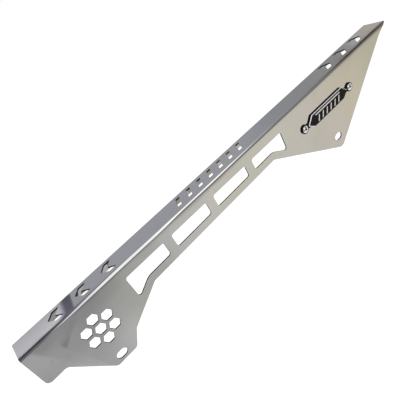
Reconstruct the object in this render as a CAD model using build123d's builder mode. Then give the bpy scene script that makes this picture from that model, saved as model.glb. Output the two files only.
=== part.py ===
from build123d import *
from math import cos, radians, sin
import os

# Motorcycle chain guard: a folded stainless sheet with a riveted badge.
# The frame's origin is midway between the two bolt slots, on the plate's inner face.
# +X runs through the slots to the rear, +Y inwards over the chain, +Z up.
# Places on the sheet are given along the fold and as a drop below the fold, in millimetres.

# Bolt slots
slot_spacing = 347.0
slot_width = 8.4
slot_length = 12.0
front_slot_drop = 72.5

# Sheet, fold and reach of the two ends
sheet = 1.5
bend_inner = 1.0
fold_rise = 0.5  # degrees between the fold and the line of the slots
nose_reach = 60.3  # front edge to the front slot
tail_reach = 134.3  # rear slot to the point of the tail
tip_overhang = 7.6  # point of the tail past the end of the plate's rear edge
flare_run = 11.0  # end of the rear edge past the waist where it flares out
flare_drop = 8.2

# Outline of the plate, from the front edge to the rear edge
foot_drop = 38.8
foot_length = 20.2
ear_lead = 10.0  # flat edge of the ear ahead of its slot
ear_trail = 14.0  # and behind its slot
ear_margin = 3.4  # sheet left below the slot
shoulder_run = 11.1
shoulder_rise = 17.1
band_front = 126.5
band_front_drop = 38.0
band_rear_lead = 99.3  # end of the band ahead of the rear slot
band_rear_drop = 33.9
tail_trail = 1.8  # low corner of the tail behind the rear slot
tail_margin = 12.8  # sheet left below the rear slot
foot_radius = 5.0
ear_radius = 5.0
shoulder_radius = 8.0
band_radius = 6.0
tail_radius = 9.0
flare_radius = 12.0

# Windows in the band
window_count = 4
window_front = 106.4
window_rear_lead = 77.8  # end of the last window ahead of the rear slot
window_drop = 13.1
window_post = 10.5
window_rail = 8.5
window_radius = 2.5

# Honeycomb vent above the front slot
vent_trail = 1.7
vent_drop = 34.6
hex_flat = 10.5
hex_wall = 3.0

# Flange, with a lip turned down along its far side
flange_front = 27.9  # width at the front edge
flange_rear = 29.3  # and at the tail
flange_cut = 7.0  # slant of the flange's tail end
flange_tail_radius = 6.0
lip_front = 10.9  # depth of the lip at the front edge
lip_rear = 7.1  # and at the tail
lip_radius = 4.0

# Chevrons and slanted slots in the flange
cut_margin = 13.3  # far side to the middle of the cut-outs
chevron_count = 3
chevron_pitch = 30.0
chevron_height = 15.0
chevron_bar = 8.0
chevron_sweep = 6.7
chevron_nose = 34.2  # front edge to the first point
chevron_tail = 34.1  # point of the tail to the last point
louvre_count = 7
louvre_pitch = 15.0
louvre_height = 13.0
louvre_width = 5.0
louvre_slant = 6.0
louvre_front = 194.5  # front edge to the middle of the first slot

# Badge on the tail
badge_lead = 2.6
badge_drop = 32.6
badge_length = 74.0
badge_above = 8.6  # body above the line of the rivets
badge_below = 6.6  # and below it
badge_point = 9.0
badge_thick = 2.6
badge_chamfer = 0.7
lug_thick = 1.5
lug_neck = 5.6
lug_margin = 1.3  # eyelet past the rivet head
head_clear = 1.7  # rivet head to the point of the body
stripe_length = 46.0
stripe_width = 1.3
stripe_offset = 5.6
stripe_height = 0.5
bar_count = 6
bar_pitch = 7.6
bar_width = 1.6
bar_height = 7.0
bar_slant = 3.4
bar_offset = -0.6

# Blind rivets and the mandrel stubs left in them
mandrel_diameter = 2.2
mandrel_fit = 0.03
mandrel_recess = 0.5
mandrel_swell = 0.6
mandrel_head_length = 1.4
rivet_wall = 0.87
rivet_fit = 0.05
head_overlap = 2.0
head_height = 1.7
head_rim = 0.4
bulb_swell = 0.9
bulb_length = 3.6

# Places that follow from the sizes above
rise = radians(fold_rise)
bend_outer = bend_inner + sheet
rear_slot = nose_reach + slot_spacing * cos(rise)
rear_slot_drop = front_slot_drop + slot_spacing * sin(rise)
length = rear_slot + tail_reach
tail_root = length - tip_overhang
ear_drop = front_slot_drop + slot_width / 2 + ear_margin
ear_end = nose_reach + ear_trail
tail_drop = rear_slot_drop + slot_width / 2 + tail_margin
window_rear = rear_slot - window_rear_lead
window_step = (window_rear - window_front + window_post) / window_count
flange_taper = (flange_rear - flange_front) / length
rivet_radius = mandrel_diameter / 2 + mandrel_fit + rivet_wall
head_radius = rivet_radius + head_overlap
rivet_spacing = badge_length + 2 * (head_clear + head_radius)
rivet_spots = [
    (rear_slot - badge_lead - rivet_spacing / 2, -badge_drop),
    (rear_slot - badge_lead + rivet_spacing / 2, -badge_drop),
]

# Planes of the sheet: the corner where its outer faces would meet starts at the front edge
along = Vector(cos(rise), 0, sin(rise))
up = Vector(-sin(rise), 0, cos(rise))
corner = Vector(-slot_spacing / 2, -sheet, 0) - along * nose_reach + up * front_slot_drop
bend_axis = corner + Vector(0, bend_outer, 0) - up * bend_outer
outer_face = Plane(corner, x_dir=along, z_dir=(0, -1, 0))
top_face = Plane(corner, x_dir=along, z_dir=up)
front_end = Plane(corner, x_dir=(0, 1, 0), z_dir=along)
rear_end = front_end.offset(length)
slot_face = Plane((0, -sheet, 0), x_dir=(1, 0, 0), z_dir=(0, -1, 0))
plate_seam = Plane(bend_axis, x_dir=along, z_dir=-up)
flange_seam = Plane(bend_axis, x_dir=along, z_dir=(0, -1, 0))

# Guard sheet: plate, flange and lip are one folded piece
with BuildPart() as guard_sheet:
    # Flange and lip, drawn at the two ends: to the rear the flange is wider and the lip shallower
    for end, width, depth in ((front_end, flange_front, lip_front), (rear_end, flange_rear, lip_rear)):
        with BuildSketch(end):
            with BuildLine():
                outer = RadiusArc((width - bend_outer, 0), (width, -bend_outer), bend_outer)
                inner = RadiusArc((width - bend_outer, -sheet), (width - sheet, -bend_outer), bend_inner)
                Polyline(outer @ 0, (bend_outer, 0), (bend_outer, -sheet), inner @ 0)
                Polyline(outer @ 1, (width, -depth), (width - sheet, -depth), inner @ 1)
            make_face()
    loft(ruled=True)
    fillet(guard_sheet.edges().filter_by(Axis.Y).sort_by(Axis.Z)[0], lip_radius)

    # Seen from above, the tail end is slanted and its far corner round, and the cut-outs go through
    chevron = [
        (0, 0),
        (chevron_sweep, chevron_height / 2),
        (chevron_sweep + chevron_bar, chevron_height / 2),
        (chevron_bar, 0),
        (chevron_sweep + chevron_bar, -chevron_height / 2),
        (chevron_sweep, -chevron_height / 2),
    ]
    louvre = [
        (-louvre_width / 2 - louvre_slant / 2, -louvre_height / 2),
        (louvre_width / 2 - louvre_slant / 2, -louvre_height / 2),
        (louvre_width / 2 + louvre_slant / 2, louvre_height / 2),
        (-louvre_width / 2 + louvre_slant / 2, louvre_height / 2),
    ]
    with BuildSketch(top_face):
        with BuildLine():
            FilletPolyline(
                (0, bend_outer),
                (length, bend_outer),
                (length - flange_cut, flange_rear + sheet),
                (0, flange_front + sheet),
                radius=[0, 0, flange_tail_radius, 0],
                close=True,
            )
        make_face()
        cut_line = flange_front - cut_margin
        for i in range(chevron_count):
            front = chevron_nose + i * chevron_pitch
            with Locations((front, cut_line + flange_taper * front)):
                Polygon(*chevron, align=None, mode=Mode.SUBTRACT)
            rear = length - chevron_tail - i * chevron_pitch
            with Locations((rear, cut_line + flange_taper * rear)):
                Polygon(*chevron, rotation=180, align=None, mode=Mode.SUBTRACT)
        for i in range(louvre_count):
            middle = louvre_front + i * louvre_pitch
            with Locations((middle, cut_line + flange_taper * middle)):
                Polygon(*louvre, align=None, mode=Mode.SUBTRACT)
    extrude(amount=-lip_front, mode=Mode.INTERSECT)

    # Bend between plate and flange, a quarter ring along the fold
    with BuildSketch(front_end):
        with BuildLine():
            outer = RadiusArc((0, -bend_outer), (bend_outer, 0), bend_outer)
            inner = RadiusArc((sheet, -bend_outer), (bend_outer, -sheet), bend_inner)
            Line(outer @ 0, inner @ 0)
            Line(outer @ 1, inner @ 1)
        make_face()
    extrude(amount=length)

    # The cut end of the bend turns with the fold, square to the sheet all the way round
    sweep_inner = bend_inner / 2
    sweep_outer = bend_outer * 2
    with BuildSketch(plate_seam):
        with Locations((tail_root, sweep_inner)):
            Rectangle(tip_overhang * 2, sweep_outer, align=Align.MIN)
    with BuildSketch(flange_seam):
        with Locations((length, sweep_inner)):
            Rectangle(tip_overhang, sweep_outer, align=Align.MIN)
    loft(ruled=True, mode=Mode.SUBTRACT)

    # Plate
    with BuildSketch(outer_face):
        with BuildLine():
            edge = FilletPolyline(
                (0, -bend_outer),
                (0, -foot_drop),
                (foot_length, -foot_drop),
                (nose_reach - ear_lead, -ear_drop),
                (ear_end, -ear_drop),
                (ear_end + shoulder_run, shoulder_rise - ear_drop),
                (band_front, -band_front_drop),
                (rear_slot - band_rear_lead, -band_rear_drop),
                (rear_slot + tail_trail, -tail_drop),
                (tail_root - flare_run, -flare_drop),
                (tail_root, -bend_outer),
                radius=[
                    foot_radius,
                    foot_radius,
                    ear_radius,
                    ear_radius,
                    shoulder_radius,
                    band_radius,
                    band_radius,
                    tail_radius,
                    flare_radius,
                ],
            )
            Line(edge @ 1, edge @ 0)
        make_face()
        with Locations((nose_reach + vent_trail, -vent_drop)):
            RegularPolygon(hex_flat / 2, 6, major_radius=False, mode=Mode.SUBTRACT)
            with PolarLocations(hex_flat + hex_wall, 6, start_angle=30, rotate=False):
                RegularPolygon(hex_flat / 2, 6, major_radius=False, mode=Mode.SUBTRACT)
        with Locations(*rivet_spots):
            Circle(rivet_radius + rivet_fit, mode=Mode.SUBTRACT)
    extrude(amount=-sheet)

    # Windows: their lower edges keep a rail of even width along the plate's outline
    with BuildSketch(outer_face) as windows:
        with BuildLine():
            add(edge)
            Polyline(edge @ 1, (tail_root, window_rail), (0, window_rail), edge @ 0)
        make_face()
        offset(amount=-window_rail)
        with Locations(((window_front + window_rear) / 2, -window_drop)):
            Rectangle(
                window_rear - window_front,
                tail_drop,
                align=(Align.CENTER, Align.MAX),
                mode=Mode.INTERSECT,
            )
        for post in range(1, window_count):
            with Locations((window_front + post * window_step - window_post / 2, 0)):
                Rectangle(window_post, 2 * tail_drop, mode=Mode.SUBTRACT)
        fillet(windows.edges().filter_by(Axis.Y).vertices(), window_radius)
    extrude(amount=-sheet, mode=Mode.SUBTRACT)

    # Bolt slots, level in the frame
    with BuildSketch(slot_face):
        with GridLocations(slot_spacing, 0, 2, 1):
            SlotOverall(slot_length, slot_width)
    extrude(amount=-sheet, mode=Mode.SUBTRACT)

# Badge: a pointed bar with raised lines, and a thin eyelet at each end
badge_middle = outer_face.from_local_coords(Vector(rear_slot - badge_lead, -badge_drop, 0))
badge_face = Plane(badge_middle, x_dir=along, z_dir=(0, -1, 0))
with BuildPart() as badge:
    with BuildSketch(badge_face):
        Rectangle(rivet_spacing, lug_neck)
        with GridLocations(rivet_spacing, 0, 2, 1):
            Circle(head_radius + lug_margin)
    extrude(amount=lug_thick)
    with BuildSketch(badge_face):
        Polygon(
            (-badge_length / 2, 0),
            (badge_point - badge_length / 2, -badge_below),
            (badge_length / 2 - badge_point, -badge_below),
            (badge_length / 2, 0),
            (badge_length / 2 - badge_point, badge_above),
            (badge_point - badge_length / 2, badge_above),
            align=None,
        )
    extrude(amount=badge_thick)
    chamfer(badge.faces().sort_by(Axis.Y)[0].edges(), badge_chamfer)
    with BuildSketch(badge_face.offset(badge_thick)):
        with Locations((0, stripe_offset)):
            SlotOverall(stripe_length, stripe_width)
        with Locations((0, bar_offset)):
            with GridLocations(bar_pitch, 0, bar_count, 1):
                Polygon(
                    (-bar_width / 2 - bar_slant / 2, -bar_height / 2),
                    (bar_width / 2 - bar_slant / 2, -bar_height / 2),
                    (bar_width / 2 + bar_slant / 2, bar_height / 2),
                    (-bar_width / 2 + bar_slant / 2, bar_height / 2),
                )
    extrude(amount=stripe_height)
    with BuildSketch(badge_face):
        with GridLocations(rivet_spacing, 0, 2, 1):
            Circle(rivet_radius + rivet_fit)
    extrude(amount=lug_thick, mode=Mode.SUBTRACT)

# One blind rivet as set, its axis along Z and the plate's outer face at Z = 0
bore_radius = mandrel_diameter / 2 + mandrel_fit
head_top = lug_thick + head_height
bulb_end = -sheet - bulb_length
with BuildPart() as rivet:
    with BuildSketch(Plane.XZ):
        with BuildLine():
            Polyline(
                (bore_radius, head_top),
                (bore_radius, bulb_end),
                (rivet_radius, bulb_end),
            )
            ThreePointArc(
                (rivet_radius, bulb_end),
                (rivet_radius + bulb_swell, -sheet - bulb_length / 2),
                (rivet_radius + bulb_swell / 2, -sheet),
            )
            Polyline(
                (rivet_radius + bulb_swell / 2, -sheet),
                (rivet_radius, -sheet),
                (rivet_radius, lug_thick),
                (head_radius, lug_thick),
                (head_radius, lug_thick + head_rim),
            )
            TangentArc((head_radius, lug_thick + head_rim), (bore_radius, head_top), tangent=(-1, 1))
        make_face()
    revolve(axis=Axis.Z)

with BuildPart() as mandrel:
    with BuildSketch(Plane.XZ):
        Polygon(
            (0, head_top - mandrel_recess),
            (mandrel_diameter / 2, head_top - mandrel_recess),
            (mandrel_diameter / 2, bulb_end),
            (mandrel_diameter / 2 + mandrel_swell, bulb_end),
            (mandrel_diameter / 2 + mandrel_swell, bulb_end - mandrel_head_length / 2),
            (mandrel_diameter / 2, bulb_end - mandrel_head_length),
            (0, bulb_end - mandrel_head_length),
            align=None,
        )
    revolve(axis=Axis.Z)

with BuildPart(outer_face) as badge_rivets:
    with Locations(*rivet_spots):
        add(rivet.part)

with BuildPart(outer_face) as rivet_mandrels:
    with Locations(*rivet_spots):
        add(mandrel.part)

os.makedirs("parts", exist_ok=True)
guard_sheet.part.label = "guard_sheet"
export_step(guard_sheet.part, "parts/guard_sheet.step")
badge.part.label = "badge"
export_step(badge.part, "parts/badge.step")
badge_rivets.part.label = "badge_rivets"
export_step(badge_rivets.part, "parts/badge_rivets.step")
rivet_mandrels.part.label = "rivet_mandrels"
export_step(rivet_mandrels.part, "parts/rivet_mandrels.step")
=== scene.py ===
# %% [markdown]
# # A polished stainless chain guard
# The guard is one folded sheet with a badge held on by two blind rivets. All four pieces come from the
# CAD model as they are, so this lesson is about finish and light. Polished steel has hardly any colour
# of its own: what we see on it is the room. So the script sets up a small photo studio first, and then
# gives each piece the surface that catches that studio in its own way.

# %% Load the model
import bpy
import numpy as np
from mathutils import Matrix, Vector

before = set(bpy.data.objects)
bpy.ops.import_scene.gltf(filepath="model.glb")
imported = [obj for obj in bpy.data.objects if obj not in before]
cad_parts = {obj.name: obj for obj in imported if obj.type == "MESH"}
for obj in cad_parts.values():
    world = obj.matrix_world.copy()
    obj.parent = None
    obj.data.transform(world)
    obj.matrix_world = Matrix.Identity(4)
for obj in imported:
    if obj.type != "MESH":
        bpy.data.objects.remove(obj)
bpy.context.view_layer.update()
scene = bpy.context.scene
scene.view_settings.view_transform = "Standard"
print("pieces:", sorted(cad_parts))

# %% [markdown]
# ## The camera
# The photograph looks down on the guard from the front end, with the long fold running corner to corner.
# A camera can be aimed with a Track To constraint, but that can't roll it. Here the camera's own three
# axes are written as the columns of a matrix, so its place, its aim and its roll are set in one line.

# %% Camera
eye = Vector((-0.16076, -0.32960, 0.28151))
look = Vector((0.32657, 0.79193, -0.51594)).normalized()
roughly_up = Vector((0.64071, 0.21582, 0.73682))
side = look.cross(roughly_up).normalized()
top = side.cross(look)

camera_data = bpy.data.cameras.new("photo_camera")
camera_data.sensor_width = 36.0
camera_data.lens = 38.17
camera_data.clip_start = 0.01
camera = bpy.data.objects.new("photo_camera", camera_data)
camera.matrix_world = Matrix.Translation(eye) @ Matrix((side, top, -look)).transposed().to_4x4()
scene.collection.objects.link(camera)
scene.camera = camera
print("camera", [round(v, 3) for v in eye], "lens", camera_data.lens)

# %% [markdown]
# ## Small helpers for node trees
# A material is a little graph. Writing each node and each link by hand takes many lines, so a few helpers
# do it: they add a node and fill or link its inputs, do sums, blend two values or colours by a mask, and
# tilt a surface by a pattern of heights.

# %% Node helpers
def feed(tree, socket, value):
    """Links a socket to another node's output, or writes a plain value into it."""
    if isinstance(value, bpy.types.NodeSocket):
        tree.links.new(value, socket)
    else:
        socket.default_value = value


def node(tree, kind, inputs=None, **settings):
    """Adds one node: settings are its own properties, inputs are its sockets by name or number."""
    made = tree.nodes.new(kind)
    for name, value in settings.items():
        setattr(made, name, value)
    for name, value in (inputs or {}).items():
        feed(tree, made.inputs[name], value)
    return made


def sums(tree, operation, *values):
    """One Math node, and its answer."""
    return node(tree, "ShaderNodeMath", dict(enumerate(values)), operation=operation).outputs[0]


def between(tree, mask, low, high):
    """low where the mask is 0, high where it is 1, and a blend in between."""
    return node(tree, "ShaderNodeMapRange", {"Value": mask, "To Min": low, "To Max": high}).outputs[0]


def ramp(tree, value, first, last):
    """0 before the first place, 1 past the last, and an even slope between them."""
    slope = node(tree, "ShaderNodeMapRange", {"Value": value, "From Min": first, "From Max": last})
    return slope.outputs[0]


def tint(tree, mask, first, second):
    """A mix of two colours by a mask. A Mix node's colours go in at sockets 6 and 7 and come out at 2."""
    mixer = node(tree, "ShaderNodeMix", data_type="RGBA")
    feed(tree, mixer.inputs["Factor"], mask)
    feed(tree, mixer.inputs[6], first)
    feed(tree, mixer.inputs[7], second)
    return mixer.outputs[2]


def parts_of(tree, vector):
    """The X, Y and Z parts of a place, a direction or a colour."""
    return list(node(tree, "ShaderNodeSeparateXYZ", {0: vector}).outputs)


def facing(tree):
    """The X, Y and Z parts of the direction that a face looks in, before any bump."""
    return parts_of(tree, node(tree, "ShaderNodeNewGeometry").outputs["True Normal"])


def relief(tree, shader, height, strength, depth):
    """Tilts the shader's normal by a pattern of heights, with depth as the metres from 0 to 1."""
    bump = node(tree, "ShaderNodeBump", {"Height": height, "Strength": strength, "Distance": depth})
    feed(tree, shader.inputs["Normal"], bump.outputs[0])


print("helpers ready")

# %% [markdown]
# ## White room
# The photograph stands the guard on pure white. Stronger lamps could bleach a background, but they would
# bleach the guard too. So the world asks Light Path who is looking: the camera and reflections get plain
# white, while dull surfaces are lit by a softer room.

# %% World
plain_white = (1, 1, 1, 1)
room_strength = 0.55


def seen_directly(tree):
    """1 for camera, glossy and transmission rays, 0 for the rest."""
    path = node(tree, "ShaderNodeLightPath")
    seen = sums(tree, "MAXIMUM", path.outputs["Is Camera Ray"], path.outputs["Is Glossy Ray"])
    return sums(tree, "MAXIMUM", seen, path.outputs["Is Transmission Ray"])


world = bpy.data.worlds.new("white_room")
world.use_nodes = True
scene.world = world
sky = world.node_tree
sky.nodes.clear()
lighting = node(sky, "ShaderNodeBackground", {"Color": plain_white, "Strength": room_strength})
backdrop = node(sky, "ShaderNodeBackground", {"Color": plain_white, "Strength": 1.0})
either = {0: seen_directly(sky), 1: lighting.outputs[0], 2: backdrop.outputs[0]}
room = node(sky, "ShaderNodeMixShader", either)
node(sky, "ShaderNodeOutputWorld", {"Surface": room.outputs[0]})
print("room light", room_strength)

# %% [markdown]
# ## Floor
# A very large white sheet of paper lies far below, as if the guard hung on a thread, so its soft shadow
# falls outside the picture. The paper is a plain diffuse surface, which can take a shadow, and a glow that
# only the camera and reflections see makes it as white as the room.

# %% Floor
floor_drop = 0.75
floor_half = 9.0
paper_white = (0.93, 0.93, 0.93, 1)
paper_glow = 0.5


def grid_mesh(name, points):
    """A mesh from a grid of points: points[i, j] is joined to its neighbours i + 1 and j + 1 as quads."""
    rows, columns = points.shape[:2]
    number = np.arange(rows * columns).reshape(rows, columns)
    quads = np.stack((number[:-1, :-1], number[1:, :-1], number[1:, 1:], number[:-1, 1:]), -1)
    mesh = bpy.data.meshes.new(name)
    mesh.from_pydata(points.reshape(-1, 3).tolist(), [], quads.reshape(-1, 4).tolist())
    made = bpy.data.objects.new(name, mesh)
    scene.collection.objects.link(made)
    return made


floor_line = np.linspace(-floor_half, floor_half, 3)
across, away = np.meshgrid(floor_line, floor_line, indexing="ij")
floor = grid_mesh("floor", np.stack((across, away, np.full_like(across, -floor_drop)), -1))
paper = bpy.data.materials.new("white_paper")
paper.use_nodes = True
tree = paper.node_tree
tree.nodes.clear()
shaded = node(tree, "ShaderNodeBsdfDiffuse", {"Color": paper_white})
glow = sums(tree, "MULTIPLY", seen_directly(tree), paper_glow)
bright = node(tree, "ShaderNodeEmission", {"Color": plain_white, "Strength": glow})
both = node(tree, "ShaderNodeAddShader", {0: shaded.outputs[0], 1: bright.outputs[0]})
node(tree, "ShaderNodeOutputMaterial", {"Surface": both.outputs[0]})
floor.data.materials.append(paper)
print("floor", floor_drop, "m below the bolt slots")

# %% [markdown]
# ## The card tunnel
# A photographer of polished metal builds a tunnel of card round it, because the card is what the metal
# will show. This one is a round arch along the guard: angle 180 is straight in front of the plate, 90 is
# overhead and 0 is behind. Only reflections see it. Lamps and gobos could draw the same reflections, but
# a painted surface is easier to steer: its tone is a function of the place along the arch and round it.
# The tone is kept at the mesh's points, so the points lie closest where a hard edge will be painted.

# %% Card tunnel
tunnel_radius = 0.85
fold_height = 0.072

# Each band is (first, last, gap): the rows in degrees round the arch, the columns in metres along it.
row_bands = (
    (246, 216, 0.2),
    (216, 209, 0.1),
    (209, 36, 1.0),
    (36, 31, 0.06),
    (31, 26, 0.2),
    (26, -73, 1.0),
)
column_bands = ((-1.6, -0.45, 0.02), (-0.45, 1.45, 0.0025), (1.45, 2.5, 0.02))
rows = np.concatenate([np.arange(first, last, -gap) for first, last, gap in row_bands])
columns = np.concatenate([np.arange(first, last, gap) for first, last, gap in column_bands])

# The arch is a circle round the fold, carried along the guard.
along, degrees = np.meshgrid(columns, rows, indexing="ij")
angle = np.radians(degrees)
arch = np.stack((along, tunnel_radius * np.cos(angle), fold_height + tunnel_radius * np.sin(angle)), -1)
tunnel = grid_mesh("card_tunnel", arch)
print("card tunnel", len(tunnel.data.polygons), "faces")

# %% [markdown]
# ## What the card shows, and where
# From the camera, each spot on the card appears at one spot on the sheet, as in any mirror. The plate
# shows the strip near 215 degrees, the flange the strip near 31, and the tight fold squeezes everything
# between them into one thin line. So the card is painted in the sheet's own millimetres: how far along
# the fold its mirror image falls, how far down the plate or across the flange, and, in the fold, how far
# the face has turned from the plate. A mirror that turns by one degree turns its image by two.

# %% Places on the sheet
# Along the card: the place in metres that shows at the front end of the fold.
card_front = -0.395
sheet_mm_per_card_metre = 314.5

# Round the card: the angles that show at the top of the plate and where the flange begins.
plate_top_angle = 212.6
plate_degrees_per_mm = 0.168
flange_front_angle = 32.32
flange_angle_drift = 0.0016
flange_degrees_per_mm = 0.112
bend_width = 1.1

x_mm = (along - card_front) * sheet_mm_per_card_metre
drop_mm = (degrees - plate_top_angle) / plate_degrees_per_mm
turn_deg = (plate_top_angle - degrees) / 2
flange_angle = flange_front_angle + flange_angle_drift * x_mm
across_mm = bend_width + (flange_angle - degrees) / flange_degrees_per_mm
print("the card reaches", round(float(drop_mm.max())), "mm down the plate")

# %% [markdown]
# ## Brushes
# Four small functions do all the painting. One is a soft step, one is a gradient with stops, as in a paint
# program, and two draw straight edges, which on the sheet are the outlines of things that it mirrors.

# %% Brushes
def step(low, high, value):
    """Smooth step: 0 below low, 1 above high, and an even S between them."""
    t = np.clip((value - low) / (high - low), 0, 1)
    return t * t * (3 - 2 * t)


def stops(value, *marks):
    """Tone or colour by place: each mark is (place, tone), with an even S from one mark to the next."""
    (place, tone), *others = [(at, np.array(shown, float)) for at, shown in marks]
    value = value[..., None] if tone.ndim else value
    total = tone
    for next_place, next_tone in others:
        total = total + (next_tone - tone) * step(place, next_place, value)
        place, tone = next_place, next_tone
    return total


def edge(distance, softness):
    """A straight edge: 0 on its near side, 1 on its far side, blurred by the softness to each side."""
    return step(-softness, softness, distance)


def past_line(start, lean, softness):
    """1 to the rear of a line that starts at a place on the fold and leans back for each mm of drop."""
    return edge(x_mm - start - lean * drop_mm, softness)


def tell(name, picture):
    """Prints the darkest and the lightest tone of a painted strip."""
    print(name, "from", round(float(picture.min()), 2), "to", round(float(picture.max()), 2))


print("brushes ready")

# %% [markdown]
# ## The table card
# The plate mirrors a table in front of it: dark at the front end, pale and warm to the tail. Two slanted
# lines near the front end cut off a pale corner and a lighter band, as the edges of things on the table
# would. The rest are soft patches, and a thin dark line just under the fold.

# %% Table card
wedge_front = 31
wedge_foot = 25
wedge_slope = 0.76


def table_tone():
    """Brightness down the plate: a gradient along it, plus or minus the shapes near the front end."""
    grey = stops(x_mm, (85, 0.40), (132, 0.60), (175, 0.765), (210, 0.83), (425, 0.855), (500, 0.735))

    # The dark front end gets lighter to the rear and to the foot.
    front = 1 - step(85, 135, x_mm)
    to_rear = step(45, 85, x_mm) * step(6, 32, drop_mm)
    to_foot = step(28, 66, drop_mm)
    grey = grey + front * (0.16 * to_rear + 0.15 * to_foot)

    # The pale corner at the very end, and the band behind it.
    pale = 1 - past_line(start=8.5, lean=0.54, softness=1.2)
    past_band = past_line(start=24, lean=0.36, softness=1.0)
    band = (1 - pale) * (1 - past_band) * step(4, 20, drop_mm)
    grey = grey + pale * stops(drop_mm, (15, 0.18), (38, 0.13)) + 0.09 * band

    # The wedge behind the band is dark along its straight lower edge and fades towards the fold.
    inside = wedge_foot - drop_mm - wedge_slope * (x_mm - wedge_front)
    wedge = past_band * edge(inside, softness=1.2) * (1 - step(2, 16, inside)) * (1 - step(48, 62, x_mm))
    grey = grey - wedge * stops(drop_mm, (4, 0.02), (12, 0.055), (23, 0.17))

    # Soft pale patches behind the band and before the first window, and the dark line under the fold.
    beside = stops(x_mm, (44, 0.065), (60, 0)) * stops(drop_mm, (2, 0), (18, 1), (42, 1), (56, 0))
    by_window = stops(x_mm, (66, 0), (90, 0.04), (108, 0.05), (125, 0.01)) * (1 - step(18, 28, drop_mm))
    under_fold = stops(drop_mm, (0.5, 0.32), (3.2, 0))
    under_fold = under_fold * stops(x_mm, (50, 0), (62, 1), (230, 1), (285, 0))
    return grey + past_band * beside + by_window - under_fold


def table_hue():
    """Tint along the plate: neutral at the front end, then cream, sand, beige and tan to the tail."""
    neutral, cream, sand = (1, 1, 1), (1, 0.99, 0.945), (1, 0.962, 0.845)
    beige, tan = (1, 0.925, 0.815), (1, 0.92, 0.72)
    to_middle = (55, neutral), (100, cream), (150, cream), (250, sand)
    to_tail = (320, sand), (365, beige), (440, tan)
    return stops(x_mm, *to_middle, *to_tail)


table_card = table_tone()[..., None] * table_hue()
tell("table card", table_card)

# %% [markdown]
# ## The soft box
# The tight fold mirrors everything from the table to overhead and on to the wall behind, so it shows as a
# thin line of many tones. Overhead is dark card with one bright panel over the front half. On the fold the
# panel draws the long highlight: it starts on a slant at the front and narrows to the rear.

# %% Soft box
def dark_card():
    """Dim tones by the turn of the fold, one gradient each for the front, the middle and the rear."""
    # The front gets darker with the turn, apart from its upper rear.
    front = stops(turn_deg, (15, 0.245), (60, 0.085))
    front = front + 0.13 * step(15, 55, x_mm) * step(30, 50, turn_deg)

    # The middle is even, a little darker at its upper rear and nearly black beside the plate.
    upper = step(60, 80, turn_deg)
    middle = 0.29 - 0.05 * upper * step(330, 380, x_mm)
    middle = middle - 0.25 * (1 - step(3, 13, turn_deg)) * (1 - step(240, 320, x_mm))

    # The rear goes from grey beside the plate to black by the flange, and evens out at its very end.
    rear = stops(turn_deg, (10, 0.39), (80, 0.02))
    rear = rear + step(500, 535, x_mm) * stops(turn_deg, (12, -0.22), (50, 0.09))

    # The three run into each other, and the first joint lies further back high up.
    dim = front + (middle - front) * step(60, 110, x_mm - 18 * upper)
    dim = dim + (rear - dim) * step(390, 470, x_mm)

    lavender, neutral = (0.97, 0.95, 1.125), (1, 0.99, 0.985)
    warm, brown = (1.02, 0.99, 0.925), (1.06, 0.98, 0.855)
    to_middle = (60, lavender), (110, neutral), (260, neutral)
    to_tail = (330, warm), (390, warm), (470, brown)
    return dim[..., None] * stops(x_mm, *to_middle, *to_tail)


def bright_panel():
    """The panel between its slanted start and its low and high edges, and a faint rim by the flange."""
    start = stops(turn_deg, (28, 19), (45, 44), (58, 50), (75, 80))
    start_width = 39
    low = stops(x_mm, (155, 12.5), (190, 30.5), (210, 30.5), (300, 50.5))
    high = stops(x_mm, (110, 74), (150, 63), (200, 63), (260, 66))
    panel = stops(x_mm, (120, 1.12), (170, 1.37), (250, 1.37), (275, 1.1), (300, 0.45), (330, 0))
    panel = panel * step(start, start + start_width, x_mm)
    panel = panel * edge(turn_deg - low, softness=4.5) * (1 - edge(turn_deg - high, softness=5))
    rim = stops(x_mm, (100, 0), (150, 0.22), (325, 0.22), (420, 0)) * step(62, 74, turn_deg)
    return (panel + rim)[..., None]


soft_box = dark_card() + bright_panel()
tell("soft box", soft_box)

# %% [markdown]
# ## The wall and the table behind
# The flange mirrors the wall behind the guard: pale at the front end, then one dark upright post with a
# hard edge, then cool grey that warms at the tail. The photograph never shows the inner side of the plate,
# which mirrors the far side of the table, so that strip is only plain grey over a white table top.

# %% Back wall and far table
# The post darkens softly from its front side and ends in a hard edge. Its foot spreads beside the fold.
post_start = 41.5
post_full = 48.5
post_edge = 55.4
post_lean = 0.22
post_darkness = 0.78


def wall_card():
    """Tone and tint along the flange, darkened and made bluer by the post, which leans across it."""
    lean = x_mm - post_lean * across_mm
    foot = stops(across_mm, (1, 5), (8, 0))
    past_post = edge(lean - post_edge, softness=0.4)
    post = step(post_start - foot, post_full - foot, lean) * (1 - past_post)
    pale = stops(across_mm, (4, 0.90), (9, 0.775), (27, 0.65))
    plain = stops(x_mm, (260, 0.49), (350, 0.39), (455, 0.39), (485, 0.54), (525, 0.58))
    grey = (pale + (plain - pale) * past_post) * (1 - post_darkness * post)
    white, cool = (0.99, 0.99, 1.03), (0.975, 0.985, 1.06)
    neutral, warm = (1, 0.98, 0.965), (1.035, 0.95, 0.85)
    bluer = np.array((-0.02, -0.01, 0.20))
    hue = stops(x_mm, (55, white), (62, cool), (330, cool), (460, neutral), (525, warm))
    return grey[..., None] * (hue + post[..., None] * bluer)


def far_table_card():
    """Mid grey level with the guard, and the white table top lower down."""
    level = stops(x_mm, (100, 0.50), (400, 0.62))
    table_top = stops(x_mm, (45, 0.20), (65, 0.55), (310, 0.55), (420, 0.30))
    grey = level + table_top * (1 - step(-32, -22, degrees))
    return np.repeat(grey[..., None], 3, -1)


back_wall = wall_card()
far_table = far_table_card()
tell("back wall", back_wall)
tell("far table", far_table)

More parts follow.
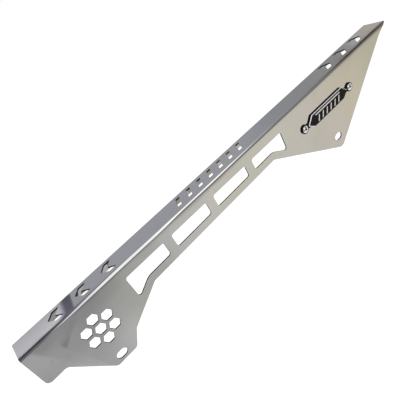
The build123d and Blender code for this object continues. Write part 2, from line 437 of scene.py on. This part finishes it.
# %% [markdown]
# ## Painting the card
# The four strips are blended where they meet. On the flange the dark of the fold ends in a hard edge, a
# little wider at the front end and at the tail. The two ends of the card fade to the white of the room, so
# that the metal shows no hard edge there from other sides.

# %% Paint
plate_joint = (210.4, 213)
inner_joint = (8, 24)
fold_softness = 0.3


def blend(first, second, mask):
    """first where the mask is 0, second where it is 1."""
    return first + (second - first) * mask[..., None]


front_edge = stops(x_mm, (12, 2.1), (24, 2.7), (48, 2.7), (56, 1.7), (95, 1.8), (120, 1.2))
tail_edge = stops(x_mm, (420, 0), (470, 1.9), (490, 2.9), (512, 2.9), (530, 2.0))
picture = blend(table_card, soft_box, 1 - step(*plate_joint, degrees))
picture = blend(picture, back_wall, edge(across_mm - front_edge - tail_edge, fold_softness))
picture = blend(picture, far_table, 1 - step(*inner_joint, degrees))
end_fade = stops(along, (-1.6, 1), (-0.6, 0), (1.45, 0), (2.45, 1))
picture = blend(picture, np.ones_like(picture), end_fade)
tell("whole card", picture)

# %% [markdown]
# ## The card's material
# The colours are stored on the points of the mesh as an attribute. An image would do too, but an attribute
# needs no file and no unwrapping. An Emission shader reads it, so the card glows with exactly the tone
# painted, whatever the lamps do.

# %% Card material
tone = np.ones(along.shape + (4,))
tone[..., :3] = picture
shade = tunnel.data.attributes.new("tone", "FLOAT_COLOR", "POINT")
shade.data.foreach_set("color", tone.astype(np.float32).ravel())
card = bpy.data.materials.new("grey_card")
card.use_nodes = True
tree = card.node_tree
tree.nodes.clear()
painted = node(tree, "ShaderNodeAttribute", attribute_name="tone")
lit = node(tree, "ShaderNodeEmission", {"Color": painted.outputs["Color"], "Strength": 1.0})
node(tree, "ShaderNodeOutputMaterial", {"Surface": lit.outputs[0]})
tunnel.data.materials.append(card)
for ray in ("camera", "diffuse", "transmission", "shadow", "volume_scatter"):
    setattr(tunnel, "visible_" + ray, False)
print("painted points", len(shade.data))

# %% [markdown]
# ## One soft lamp
# The tunnel lights only the mirror-like metal. The black of the badge and the floor need real light, so
# one large soft lamp hangs above. Its own mirror image is switched off, because the card overhead already
# draws that highlight.

# %% Soft lamp
lamp_data = bpy.data.lights.new("soft_lamp", "AREA")
lamp_data.shape = "RECTANGLE"
lamp_data.size = 1.4
lamp_data.size_y = 1.4
lamp_data.energy = 13.0
lamp = bpy.data.objects.new("soft_lamp", lamp_data)
lamp.location = (0.05, 0.10, 1.25)
lamp.visible_glossy = False
scene.collection.objects.link(lamp)
print("lamp", lamp_data.energy, "W")

# %% [markdown]
# ## Marks that several finishes share
# Two effects come back on the metals here. Polishing leaves very fine lines in one direction, which is
# noise stretched along the stroke. Handling leaves cloudy smudges, which is noise with soft contrast. Each
# is a node group, built once, and a material that needs it places it with its own sizes.

# %% Shared node groups
vector = "NodeSocketVector"
number = "NodeSocketFloat"


def new_group(name, inputs, output):
    """An empty shader node group with float or vector inputs and one float output."""
    group = bpy.data.node_groups.new(name, "ShaderNodeTree")
    for label, kind in inputs:
        group.interface.new_socket(label, in_out="INPUT", socket_type=kind)
    group.interface.new_socket(output, in_out="OUTPUT", socket_type=number)
    return group, group.nodes.new("NodeGroupInput").outputs, group.nodes.new("NodeGroupOutput").inputs


group_inputs = [("Place", vector), ("Lines per metre", vector)]
stroke_group, given, result = new_group("polishing_lines", group_inputs, "Lines")
factors = {0: given["Place"], 1: given["Lines per metre"]}
stretched = node(stroke_group, "ShaderNodeVectorMath", factors, operation="MULTIPLY").outputs[0]
noise = {"Vector": stretched, "Scale": 1.0, "Detail": 4.0, "Roughness": 0.65}
strokes = node(stroke_group, "ShaderNodeTexNoise", noise)
stroke_group.links.new(strokes.outputs[0], result["Lines"])

group_inputs = [("Place", vector), ("Per metre", number)]
smudge_group, given, result = new_group("handling_smudges", group_inputs, "Smudges")
noise = {"Vector": given["Place"], "Scale": given["Per metre"], "Detail": 5.0, "Roughness": 0.6}
cloud = node(smudge_group, "ShaderNodeTexNoise", {**noise, "Distortion": 0.6})
contrast = {"Value": cloud.outputs[0], "From Min": 0.42, "From Max": 0.72}
soft = node(smudge_group, "ShaderNodeMapRange", contrast, interpolation_type="SMOOTHSTEP")
smudge_group.links.new(soft.outputs[0], result["Smudges"])


def use_group(tree, group, **inputs):
    """Places a node group in a material, fills its inputs and gives its answer."""
    placed = node(tree, "ShaderNodeGroup", node_tree=group)
    for label, value in inputs.items():
        feed(tree, placed.inputs[label.replace("_", " ")], value)
    return placed.outputs[0]


def metal(name):
    """A new metal material: gives the material, its tree, its Principled shader and object coordinates."""
    made = bpy.data.materials.new(name)
    made.use_nodes = True
    tree = made.node_tree
    tree.nodes.clear()
    shader = node(tree, "ShaderNodeBsdfPrincipled", {"Metallic": 1.0})
    node(tree, "ShaderNodeOutputMaterial", {"Surface": shader.outputs[0]})
    place = node(tree, "ShaderNodeTexCoord").outputs["Object"]
    return made, tree, shader, place


print("groups:", stroke_group.name, smudge_group.name)

# %% [markdown]
# ## Polished faces and cut walls
# The sheet was polished before it was cut, so its broad faces are near mirrors while the cut walls of the
# windows and slots are dull, and darkened both by their laser skin and by painted shade. A face knows
# which it is by its normal: on the plate and the lip a broad face looks along Y, on the flange along Z,
# and in the two bends only the cut ends look along X. Which of these holds follows from the place below
# the fold and across the flange. One could paint such a mask by hand, but this rule needs no painting: it
# gives 1 on the cut walls and 0 on the polish.

# %% Cut walls of the sheet
fold_rise_degrees = 0.5
bend_depth = 0.0026
flange_middle = 0.0124
flange_flat_half = 0.0113
half_turned = 0.5

steel, tree, shader, place = metal("polished_stainless_sheet")
spot_x, spot_y, spot_z = parts_of(tree, place)
turn_x, turn_y, turn_z = [sums(tree, "ABSOLUTE", part) for part in facing(tree)]

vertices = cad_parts["guard_sheet"].data.vertices
corners = np.empty(3 * len(vertices), np.float32)
vertices.foreach_get("co", corners)
corners = corners.reshape(-1, 3).astype(float)
fold_slope = np.tan(np.radians(fold_rise_degrees))
fold_top = float((corners[:, 2] - fold_slope * corners[:, 0]).max())

top_here = sums(tree, "MULTIPLY_ADD", spot_x, fold_slope, fold_top)
below_bend = sums(tree, "GREATER_THAN", sums(tree, "SUBTRACT", top_here, spot_z), bend_depth)
off_middle = sums(tree, "ABSOLUTE", sums(tree, "SUBTRACT", spot_y, flange_middle))
in_bend = sums(tree, "GREATER_THAN", off_middle, flange_flat_half)
wall_upright = sums(tree, "LESS_THAN", turn_y, half_turned)
wall_level = sums(tree, "LESS_THAN", turn_z, half_turned)
wall_end = sums(tree, "GREATER_THAN", turn_x, half_turned)
wall_above = between(tree, in_bend, wall_level, wall_end)
cut_wall = between(tree, below_bend, wall_above, wall_upright)
print("top of the fold", round(1000 * fold_top, 2), "mm above the bolt slots")

# %% [markdown]
# ## Colour of the steel
# The polish is a pale, almost neutral metal, a shade darker where it was handled. A few small dark pits lie
# on it: they are the middles of Voronoi cells, and a random colour per cell chooses one cell in five. The
# lowest corner at the front end is mottled by wear. The cut walls are nearly black with fine stripes:
# partly the skin that a laser burns on, and partly painted shade of the inside of the cuts.

# %% Steel colour
clean_steel, handled_steel = (0.600, 0.602, 0.605, 1), (0.575, 0.577, 0.580, 1)
# Nearly black cut walls: laser skin, darkened further as painted shade of the inside of the cuts.
burnt_and_shaded_dark, burnt_and_shaded_pale = (0.002, 0.002, 0.002, 1), (0.012, 0.012, 0.012, 1)
pit_brown, worn_grey = (0.20, 0.19, 0.18, 1), (0.36, 0.36, 0.36, 1)
cells_per_metre = 170.0
unpitted_share = 0.80
pit_radius_in_cell = 0.09
pit_strength = 0.5
wear_starts_x, wear_full_x = -0.208, -0.226
wear_starts_z, wear_full_z = 0.058, 0.044
wear_strength = 0.25

smudge = use_group(tree, smudge_group, Place=place, Per_metre=22.0)
sheen = tint(tree, smudge, clean_steel, handled_steel)

cells = node(tree, "ShaderNodeTexVoronoi", {"Vector": place, "Scale": cells_per_metre}).outputs
chosen = sums(tree, "GREATER_THAN", parts_of(tree, cells["Color"])[0], unpitted_share)
pit = sums(tree, "MULTIPLY", sums(tree, "LESS_THAN", cells["Distance"], pit_radius_in_cell), chosen)
sheen = tint(tree, sums(tree, "MULTIPLY", pit, pit_strength), sheen, pit_brown)

mottle = use_group(tree, smudge_group, Place=place, Per_metre=330.0)
to_front = ramp(tree, spot_x, wear_starts_x, wear_full_x)
to_foot = ramp(tree, spot_z, wear_starts_z, wear_full_z)
worn = sums(tree, "MULTIPLY", mottle, sums(tree, "MULTIPLY", to_front, to_foot))
sheen = tint(tree, sums(tree, "MULTIPLY", worn, wear_strength), sheen, worn_grey)

laser = use_group(tree, stroke_group, Place=place, Lines_per_metre=(3000, 150, 3000))
# The cut walls' colour: laser skin with painted shade.
burnt_and_shaded_wall = tint(tree, laser, burnt_and_shaded_dark, burnt_and_shaded_pale)
feed(tree, shader.inputs["Base Color"], tint(tree, cut_wall, sheen, burnt_and_shaded_wall))
print("one cell in", round(1 / (1 - unpitted_share)), "has a pit")

# %% [markdown]
# ## Polish of the steel
# Roughness is what tells polish from paint: nearly 0 here, raised a little by the polishing lines and by
# smudges. The cut walls are dull, and they aren't metallic: their skin is an oxide, and without a mirror
# they keep their painted shade dark. Lines and stripes also tilt the surface a very little, so that a
# mirrored edge isn't perfectly straight.

# %% Steel polish
mirror_roughness = 0.015
burnt_roughness = 0.55
fine_share, broad_share, smudge_share = 0.02, 0.02, 0.025
fine_height, broad_height = 0.1, 0.3

fine = use_group(tree, stroke_group, Place=place, Lines_per_metre=(60, 2600, 2600))
broad = use_group(tree, stroke_group, Place=place, Lines_per_metre=(14, 420, 420))
polish = sums(tree, "MULTIPLY_ADD", fine, fine_share, mirror_roughness)
polish = sums(tree, "MULTIPLY_ADD", broad, broad_share, polish)
polish = sums(tree, "MULTIPLY_ADD", smudge, smudge_share, polish)
feed(tree, shader.inputs["Roughness"], between(tree, cut_wall, polish, burnt_roughness))
feed(tree, shader.inputs["Metallic"], sums(tree, "SUBTRACT", 1.0, cut_wall))
shader.inputs["Specular IOR Level"].default_value = 0.04
shader.inputs["Anisotropic"].default_value = 0.2
line_height = sums(tree, "MULTIPLY_ADD", fine, fine_height, sums(tree, "MULTIPLY", broad, broad_height))
relief(tree, shader, between(tree, cut_wall, line_height, laser), strength=0.03, depth=0.0002)
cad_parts["guard_sheet"].material_slots[0].material = steel
print("steel nodes", len(tree.nodes))

# %% [markdown]
# ## Gloss black badge with bright lines
# The badge is a small casting, sprayed gloss black, whose raised lines and rim were then wiped back to
# bright metal. The raised faces are the outermost ones, so their Y place picks them out, and the chamfered
# rim is known by its slanted normal. Two materials would do too, but the CAD piece has one slot, so a mask
# mixes the two finishes. The wiped lines and rim are partly bright metal and partly a painted highlight:
# they are nearly white and only partly metallic, so they scatter the lamp's light as bright lines, where a
# full mirror would show the dark card.

# %% Badge
raised_level = -0.00425
rim_normal, rim_tolerance = -0.70, 0.15
black_paint, smudged_paint = (0.004, 0.004, 0.005, 1), (0.008, 0.008, 0.009, 1)
# Wiped metal lightened to near white: bright metal plus a painted highlight on the raised lines and rim.
wiped_and_highlight_grey, wiped_and_highlight_white = (0.90, 0.90, 0.90, 1), (0.98, 0.98, 0.98, 1)
wiped_metallic = 0.35
paint_roughness, smudge_share = 0.16, 0.10
wiped_roughness, fine_share = 0.18, 0.15

black, tree, shader, place = metal("gloss_black_badge")
raised = sums(tree, "LESS_THAN", parts_of(tree, place)[1], raised_level)
slanted = sums(tree, "COMPARE", facing(tree)[1], rim_normal, rim_tolerance)
# The raised lines and the rim, which carry the wiped metal and its painted highlight.
wiped_and_highlit = sums(tree, "MAXIMUM", raised, slanted)

smudge = use_group(tree, smudge_group, Place=place, Per_metre=120.0)
fine = use_group(tree, stroke_group, Place=place, Lines_per_metre=(400, 3000, 3000))
spray = node(tree, "ShaderNodeTexNoise", {"Vector": place, "Scale": 1400.0, "Detail": 2.0}).outputs[0]
paint = tint(tree, smudge, black_paint, smudged_paint)
wiped_and_highlight_colour = tint(tree, fine, wiped_and_highlight_grey, wiped_and_highlight_white)
feed(tree, shader.inputs["Base Color"], tint(tree, wiped_and_highlit, paint, wiped_and_highlight_colour))
feed(tree, shader.inputs["Metallic"], sums(tree, "MULTIPLY", wiped_and_highlit, wiped_metallic))
gloss = sums(tree, "MULTIPLY_ADD", smudge, smudge_share, paint_roughness)
brushed = sums(tree, "MULTIPLY_ADD", fine, fine_share, wiped_roughness)
feed(tree, shader.inputs["Roughness"], between(tree, wiped_and_highlit, gloss, brushed))
shader.inputs["Specular IOR Level"].default_value = 0.12
relief(tree, shader, between(tree, wiped_and_highlit, spray, fine), strength=0.10, depth=0.0002)
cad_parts["badge"].material_slots[0].material = black
print("badge nodes", len(tree.nodes))

# %% [markdown]
# ## Rivets and mandrel stubs
# Blind rivets are soft bright aluminium. The setting tool leaves the dome smooth, with small dents and
# smudges. Dents this small need no modelling, so a bump draws them. The steel pin that was pulled through
# snaps off inside, and its end is a dull, grainy break sunk in the hole. It is coloured nearly black,
# partly its own dull steel and partly painted shade of the hole: the dot in the middle of each head.

# %% Rivets and mandrels
bright_aluminium, dull_aluminium = (0.86, 0.86, 0.87, 1), (0.74, 0.74, 0.75, 1)
rivet, tree, shader, place = metal("rivet_aluminium_dome")
smudge = use_group(tree, smudge_group, Place=place, Per_metre=300.0)
dents = node(tree, "ShaderNodeTexNoise", {"Vector": place, "Scale": 900.0, "Detail": 3.0}).outputs[0]
feed(tree, shader.inputs["Base Color"], tint(tree, smudge, bright_aluminium, dull_aluminium))
feed(tree, shader.inputs["Roughness"], between(tree, smudge, low=0.20, high=0.34))
relief(tree, shader, dents, strength=0.15, depth=0.0002)
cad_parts["badge_rivets"].material_slots[0].material = rivet

# The mandrel end is nearly black: its dull broken steel, darkened as painted shade of the hole it sits in.
shaded_broken_steel, shaded_stained_steel = (0.06, 0.057, 0.054, 1), (0.03, 0.028, 0.026, 1)
mandrel, tree, shader, place = metal("mandrel_end_with_painted_shade")
smudge = use_group(tree, smudge_group, Place=place, Per_metre=700.0)
grains = node(tree, "ShaderNodeTexVoronoi", {"Vector": place, "Scale": 3500.0}).outputs["Distance"]
feed(tree, shader.inputs["Base Color"], tint(tree, smudge, shaded_broken_steel, shaded_stained_steel))
feed(tree, shader.inputs["Roughness"], between(tree, smudge, low=0.45, high=0.65))
relief(tree, shader, grains, strength=0.5, depth=0.0003)
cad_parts["rivet_mandrels"].material_slots[0].material = mandrel
print("rivet and mandrel finishes set")
